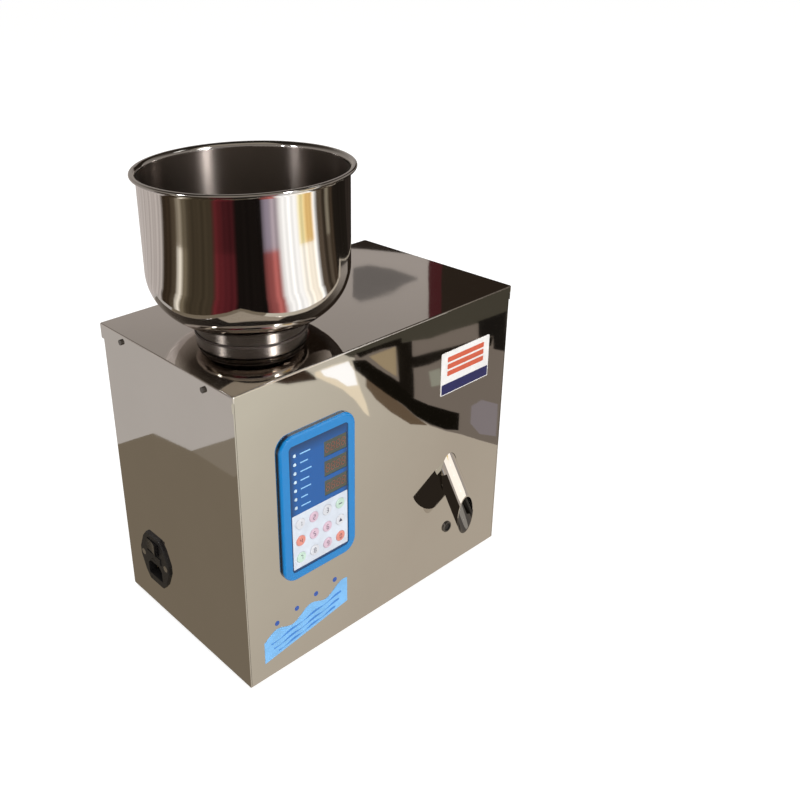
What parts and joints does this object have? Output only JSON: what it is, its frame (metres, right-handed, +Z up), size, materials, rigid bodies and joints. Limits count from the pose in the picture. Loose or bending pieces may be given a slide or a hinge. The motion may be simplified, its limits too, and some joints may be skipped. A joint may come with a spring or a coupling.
{
  "type": "tea packing machine",
  "caption": "Bench-top weigh-and-fill machine for loose tea: bowl hopper, polished steel case, front control panel, slanted discharge tube, bag sensor and mains inlet.",
  "frame": {"origin": "middle of the outer box in plan, on the plane that the feet stand on", "axes": "+X to the right along the front, +Y from the front to the back, +Z up; the controller and the discharge tube face -Y"},
  "size_m": [0.3568, 0.233, 0.4585],
  "materials": {
    "polished_steel": "mirror polished stainless sheet",
    "plain_steel": "zinc plated, satin",
    "fasteners": "zinc plated screws and nuts",
    "aluminium": "milled",
    "spring_plastic": "glass fibre laminate",
    "copper_coil": "wound copper under varnish tape",
    "motor_case": "plated can",
    "rubber": "matt black",
    "blue_plastic": "glossy blue",
    "blue_film": "printed film, glossy",
    "keypad_film": "white printed film",
    "key_cream": "pale grey keys",
    "key_pink": "pale pink keys",
    "key_green": "pale green keys",
    "key_red": "red keys",
    "display_window": "grey segment windows",
    "led_lens": "clear lenses",
    "circuit_board": "green laminate with parts",
    "black_plastic": "black moulding",
    "rocker_plastic": "black gloss rocker",
    "contact_brass": "plated contact pins"
  },
  "bodies": {
    "machine": {"bag_sensor": "black_plastic", "base_pan": "polished_steel", "body_wrap": "polished_steel", "bucket_hanger": "plain_steel", "chassis_screws": "fasteners", "control_bezel": "blue_plastic", "control_board": "circuit_board", "cover_screws": "fasteners", "digit_displays": "display_window", "discharge_tube": "polished_steel", "drive_base": "aluminium", "feeder_bracket": "plain_steel", "front_panel": "polished_steel", "gate_motor": "motor_case", "guide_funnel": "polished_steel", "hopper_bowl": "polished_steel", "hopper_neck": "polished_steel", "hopper_screws": "fasteners", "indicator_leds": "led_lens", "inlet_housing": "black_plastic", "inlet_pins": "contact_brass", "inlet_screws": "fasteners", "keypad_plate": "keypad_film", "leaf_springs": "spring_plastic", "load_cell": "aluminium", "load_cell_post": "plain_steel", "lower_spring_clamps": "plain_steel", "magnet_coil": "copper_coil", "magnet_core": "plain_steel", "membrane_panel": "blue_film", "motor_bracket": "plain_steel", "neck_gasket": "rubber", "power_board": "circuit_board", "rubber_feet": "rubber", "rubber_mounts": "rubber", "sensor_nuts": "plain_steel", "top_cover": "polished_steel", "tube_flange": "polished_steel", "weigh_bucket": "polished_steel"},
    "shaking_trough": {"feed_trough": "polished_steel", "trough_carrier": "aluminium", "armature_plate": "plain_steel", "upper_spring_clamps": "plain_steel"},
    "crank": {"gate_crank": "plain_steel"},
    "flap": {"bucket_flap": "polished_steel", "flap_shaft": "plain_steel"},
    "rocker": {"rocker_switch": "rocker_plastic"},
    "fuse_holder": {"fuse_drawer": "black_plastic"},
    "key_1_cap": {"key_1": "key_cream"},
    "key_2_cap": {"key_2": "key_pink"},
    "key_3_cap": {"key_3": "key_cream"},
    "key_4_cap": {"key_4": "key_green"},
    "key_5_cap": {"key_5": "key_red"},
    "key_6_cap": {"key_6": "key_pink"},
    "key_7_cap": {"key_7": "key_pink"},
    "key_8_cap": {"key_8": "key_cream"},
    "key_9_cap": {"key_9": "key_green"},
    "key_10_cap": {"key_10": "key_green"},
    "key_11_cap": {"key_11": "key_pink"},
    "key_12_cap": {"key_12": "key_red"}
  },
  "joints": [
    {"name": "trough_shake", "type": "slide", "parent": "machine", "child": "shaking_trough", "axis": [0.9397, 0, 0.342], "range_m": [-0.0008, 0.0008], "stiffness_N_per_m": 20000, "deforming": ["leaf_springs"]},
    {"name": "gate_crank_turn", "type": "hinge", "parent": "machine", "child": "crank", "pos_m": [0.12817, -0.00119, 0.20258], "axis": [1, 0, 0], "range_deg": [0, 90]},
    {"name": "bucket_flap_swing", "type": "hinge", "parent": "machine", "child": "flap", "pos_m": [0.09507, -0.0165, 0.206], "axis": [1, 0, 0], "range_deg": [0, 55]},
    {"name": "rocker_tilt", "type": "hinge", "parent": "machine", "child": "rocker", "pos_m": [-0.17153, 0.0598, 0.0812], "axis": [0, 0, 1], "range_deg": [0, 16]},
    {"name": "fuse_drawer_slide", "type": "slide", "parent": "machine", "child": "fuse_holder", "axis": [-1, 0, 0], "range_m": [0, 0.014]},
    {"name": "key_1_press", "type": "slide", "parent": "machine", "child": "key_1_cap", "axis": [0, 1, 0], "range_m": [0, 0.0006], "stiffness_N_per_m": 200, "springref_m": -0.001},
    {"name": "key_2_press", "type": "slide", "parent": "machine", "child": "key_2_cap", "axis": [0, 1, 0], "range_m": [0, 0.0006], "stiffness_N_per_m": 200, "springref_m": -0.001},
    {"name": "key_3_press", "type": "slide", "parent": "machine", "child": "key_3_cap", "axis": [0, 1, 0], "range_m": [0, 0.0006], "stiffness_N_per_m": 200, "springref_m": -0.001},
    {"name": "key_4_press", "type": "slide", "parent": "machine", "child": "key_4_cap", "axis": [0, 1, 0], "range_m": [0, 0.0006], "stiffness_N_per_m": 200, "springref_m": -0.001},
    {"name": "key_5_press", "type": "slide", "parent": "machine", "child": "key_5_cap", "axis": [0, 1, 0], "range_m": [0, 0.0006], "stiffness_N_per_m": 200, "springref_m": -0.001},
    {"name": "key_6_press", "type": "slide", "parent": "machine", "child": "key_6_cap", "axis": [0, 1, 0], "range_m": [0, 0.0006], "stiffness_N_per_m": 200, "springref_m": -0.001},
    {"name": "key_7_press", "type": "slide", "parent": "machine", "child": "key_7_cap", "axis": [0, 1, 0], "range_m": [0, 0.0006], "stiffness_N_per_m": 200, "springref_m": -0.001},
    {"name": "key_8_press", "type": "slide", "parent": "machine", "child": "key_8_cap", "axis": [0, 1, 0], "range_m": [0, 0.0006], "stiffness_N_per_m": 200, "springref_m": -0.001},
    {"name": "key_9_press", "type": "slide", "parent": "machine", "child": "key_9_cap", "axis": [0, 1, 0], "range_m": [0, 0.0006], "stiffness_N_per_m": 200, "springref_m": -0.001},
    {"name": "key_10_press", "type": "slide", "parent": "machine", "child": "key_10_cap", "axis": [0, 1, 0], "range_m": [0, 0.0006], "stiffness_N_per_m": 200, "springref_m": -0.001},
    {"name": "key_11_press", "type": "slide", "parent": "machine", "child": "key_11_cap", "axis": [0, 1, 0], "range_m": [0, 0.0006], "stiffness_N_per_m": 200, "springref_m": -0.001},
    {"name": "key_12_press", "type": "slide", "parent": "machine", "child": "key_12_cap", "axis": [0, 1, 0], "range_m": [0, 0.0006], "stiffness_N_per_m": 200, "springref_m": -0.001}
  ],
  "couplings": [
    {"joint": "bucket_flap_swing", "follows": "gate_crank_turn", "ratio": 0.61111}
  ]
}
